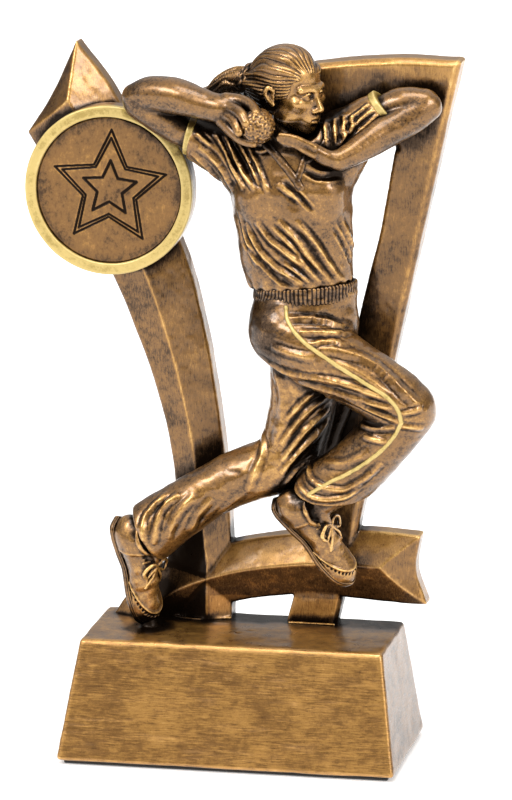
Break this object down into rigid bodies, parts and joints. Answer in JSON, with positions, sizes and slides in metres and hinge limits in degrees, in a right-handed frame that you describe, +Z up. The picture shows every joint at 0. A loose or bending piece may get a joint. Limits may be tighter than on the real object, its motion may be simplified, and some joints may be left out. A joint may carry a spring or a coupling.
{
  "type": "cricket bowling trophy",
  "caption": "Cast antique-gold award: a bowler in mid-stride inside an angular frame of curved bars, with a round medal holder, on a wedge-sided rectangular base.",
  "frame": {"origin": "centre of the felt pad's underside, which is the centre of the base's footprint", "axes": "+Z up, -Y the front that the base's plate face and the medal look towards, +X to the viewer's right"},
  "size_m": [0.0771, 0.0324, 0.1259],
  "materials": {
    "cast_bronze": "antique bronze-gold lacquered resin, semi-gloss, darker in the recesses",
    "cast_bronze_dark": "the same resin where the dark wash has stayed: ribbing, hair, soles and collar",
    "gold_paint": "bright pale gold paint, satin",
    "steel": "plain drawn steel rod",
    "felt": "black felt sheet"
  },
  "bodies": {
    "root": {"base_block": "cast_bronze", "cricket_ball": "cast_bronze", "cross_beam": "cast_bronze", "felt_pad": "felt", "hair": "cast_bronze_dark", "hair_tie": "cast_bronze_dark", "head": "cast_bronze", "left_armature_rod": "steel", "left_blade": "cast_bronze", "left_blade_foot": "cast_bronze", "left_forearm": "cast_bronze", "left_hand": "cast_bronze", "left_hem": "cast_bronze", "left_lower_leg": "cast_bronze", "left_shoe_laces": "cast_bronze_dark", "left_shoe_sole": "cast_bronze_dark", "left_shoe_upper": "cast_bronze", "left_sleeve": "cast_bronze", "left_sleeve_band": "gold_paint", "left_thigh": "cast_bronze", "left_upper_arm": "cast_bronze", "medal_backplate": "cast_bronze", "medal_insert": "cast_bronze", "medal_rim": "gold_paint", "neck": "cast_bronze", "ponytail": "cast_bronze_dark", "right_armature_rod": "steel", "right_forearm": "cast_bronze", "right_hand": "cast_bronze", "right_hem": "cast_bronze", "right_lower_leg": "cast_bronze", "right_post": "cast_bronze", "right_post_foot": "cast_bronze", "right_shin_piping": "gold_paint", "right_shoe_laces": "cast_bronze_dark", "right_shoe_sole": "cast_bronze_dark", "right_shoe_upper": "cast_bronze", "right_sleeve": "cast_bronze", "right_sleeve_band": "gold_paint", "right_thigh": "cast_bronze", "right_thigh_piping": "gold_paint", "right_upper_arm": "cast_bronze", "shirt_body": "cast_bronze", "shirt_collar": "cast_bronze_dark", "shoe_pin": "steel", "top_blade": "cast_bronze", "trouser_seat": "cast_bronze", "waistband": "cast_bronze_dark"}
  },
  "joints": []
}
